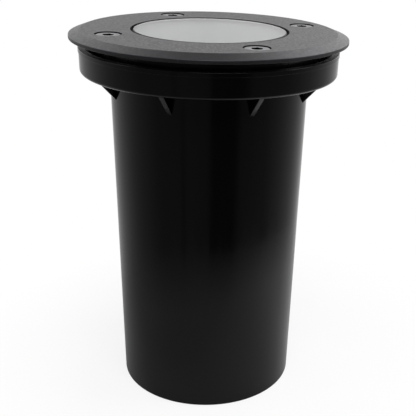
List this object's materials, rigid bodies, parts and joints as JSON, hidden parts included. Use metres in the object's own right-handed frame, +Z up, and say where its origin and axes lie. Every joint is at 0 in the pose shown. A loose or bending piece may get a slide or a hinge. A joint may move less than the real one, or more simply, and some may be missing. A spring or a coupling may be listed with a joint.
{
  "type": "in-ground recessed light",
  "caption": "Round in-ground recessed spotlight: screwed bezel ring with flush stepped glass on a sealed lamp housing, standing in a ribbed tapered mounting sleeve.",
  "frame": {"origin": "centre of the mounting sleeve's foot, on the surface that it stands on", "axes": "+Z up along the light's axis towards the glass; the bezel screws lie on the X and Y axes; +Y towards the cable notch in the sleeve's foot"},
  "size_m": [0.11, 0.11, 0.1509],
  "materials": {
    "sleeve_plastic": "glossy moulded",
    "housing_plastic": "satin moulded",
    "bezel_coat": "fine textured powder coat",
    "screw_steel": "satin",
    "zinc_steel": "zinc plated",
    "brass": "turned",
    "black_rubber": "matt",
    "ceramic": "glazed off-white",
    "terminal_plastic": "natural nylon",
    "gland_plastic": "moulded nylon",
    "clear_glass": "toughened, ground edges",
    "frosted": "frosted",
    "lamp_metal": "white coat",
    "lamp_lens": "opal",
    "pin_metal": "nickel plated"
  },
  "bodies": {
    "sleeve": {"mounting_sleeve": "sleeve_plastic"},
    "insert": {"lamp_housing": "housing_plastic", "housing_base": "housing_plastic", "housing_flange": "housing_plastic", "thread_inserts": "brass", "glass_gasket": "black_rubber", "lampholder": "ceramic", "lampholder_cap": "ceramic", "holder_strap": "zinc_steel", "holder_screws": "zinc_steel", "strap_screws": "zinc_steel", "terminal_block": "terminal_plastic", "terminal_tubes": "brass", "terminal_screws": "zinc_steel", "terminal_mount_screw": "zinc_steel", "gland_body": "gland_plastic", "gland_washer": "black_rubber", "gland_locknut": "gland_plastic", "gland_seal": "black_rubber"},
    "gland_nut": {"gland_dome_nut": "gland_plastic"},
    "bezel": {"bezel_ring": "bezel_coat", "bezel_gasket": "black_rubber"},
    "glass": {"glass_lens": "clear_glass"},
    "diffuser": {"frosted_diffuser": "frosted"},
    "lamp": {"lamp_body": "lamp_metal", "lamp_lens": "lamp_lens", "lamp_base": "ceramic", "lamp_pins": "pin_metal"},
    "screw_1": {"bezel_screw_1": "screw_steel"},
    "screw_2": {"bezel_screw_2": "screw_steel"},
    "screw_3": {"bezel_screw_3": "screw_steel"},
    "screw_4": {"bezel_screw_4": "screw_steel"}
  },
  "joints": [
    {"name": "insert_lift", "type": "slide", "parent": "sleeve", "child": "insert", "axis": [0, 0, 1], "range_m": [0, 0.135]},
    {"name": "bezel_lift", "type": "slide", "parent": "insert", "child": "bezel", "axis": [0, 0, 1], "range_m": [0, 0.05]},
    {"name": "glass_lift", "type": "slide", "parent": "insert", "child": "glass", "axis": [0, 0, 1], "range_m": [0, 0.03]},
    {"name": "diffuser_lift", "type": "slide", "parent": "insert", "child": "diffuser", "axis": [0, 0, 1], "range_m": [0, 0.015]},
    {"name": "lamp_twist", "type": "hinge", "parent": "insert", "child": "lamp", "pos_m": [0, 0, 0.0866], "axis": [0, 0, 1], "range_deg": [0, 25]},
    {"name": "gland_nut_turn", "type": "hinge", "parent": "insert", "child": "gland_nut", "pos_m": [0, 0, 0.026], "axis": [0, 0, 1], "continuous": true},
    {"name": "screw_1_turn", "type": "hinge", "parent": "bezel", "child": "screw_1", "pos_m": [0.0415, 0, 0.1476], "axis": [0, 0, 1], "continuous": true},
    {"name": "screw_2_turn", "type": "hinge", "parent": "bezel", "child": "screw_2", "pos_m": [0, 0.0415, 0.1476], "axis": [0, 0, 1], "continuous": true},
    {"name": "screw_3_turn", "type": "hinge", "parent": "bezel", "child": "screw_3", "pos_m": [-0.0415, 0, 0.1476], "axis": [0, 0, 1], "continuous": true},
    {"name": "screw_4_turn", "type": "hinge", "parent": "bezel", "child": "screw_4", "pos_m": [0, -0.0415, 0.1476], "axis": [0, 0, 1], "continuous": true}
  ],
  "couplings": [
    {"joint": "glass_lift", "follows": "bezel_lift", "ratio": 0.6},
    {"joint": "diffuser_lift", "follows": "bezel_lift", "ratio": 0.3}
  ]
}
